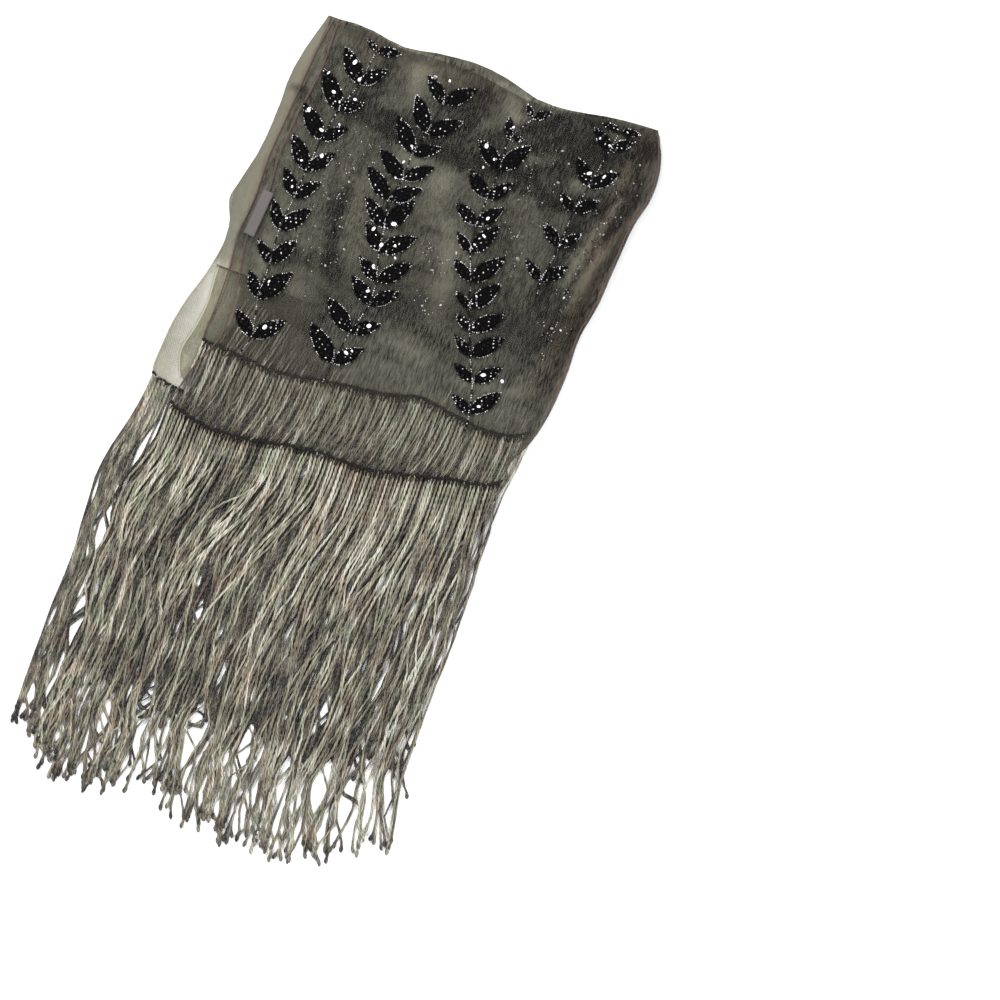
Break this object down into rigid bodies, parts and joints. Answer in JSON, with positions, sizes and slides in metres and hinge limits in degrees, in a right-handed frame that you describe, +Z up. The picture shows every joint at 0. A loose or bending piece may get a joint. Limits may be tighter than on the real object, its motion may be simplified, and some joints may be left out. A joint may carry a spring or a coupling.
{
  "type": "tulle wrap",
  "caption": "Rectangular tulle wrap with beaded leaf vines and long fringed ends, folded and lying flat.",
  "frame": {"origin": "under the middle of the folded wrap's outline, fringes included, on the surface that it lies on", "axes": "+Y along the wrap's folded length, from the fringe tips to the folds; +X to the right as seen from above; +Z up"},
  "size_m": [0.3405, 0.6561, 0.0184],
  "materials": {
    "tulle": "sheer soft net, matte with a faint sheen",
    "fringe": "twisted satin cord",
    "beads": "glossy opaque black glass and sequins",
    "label": "woven ribbon, blank"
  },
  "bodies": {
    "root": {"outer_back_ply": "tulle", "inner_back_ply": "tulle", "folded_core": "tulle", "inner_front_ply": "tulle", "outer_front_ply": "tulle", "label": "label", "outer_back_fringe": "fringe", "inner_fringe": "fringe", "outer_front_fringe": "fringe", "vine_1": "beads", "vine_2": "beads", "vine_3": "beads", "vine_4": "beads"}
  },
  "joints": []
}
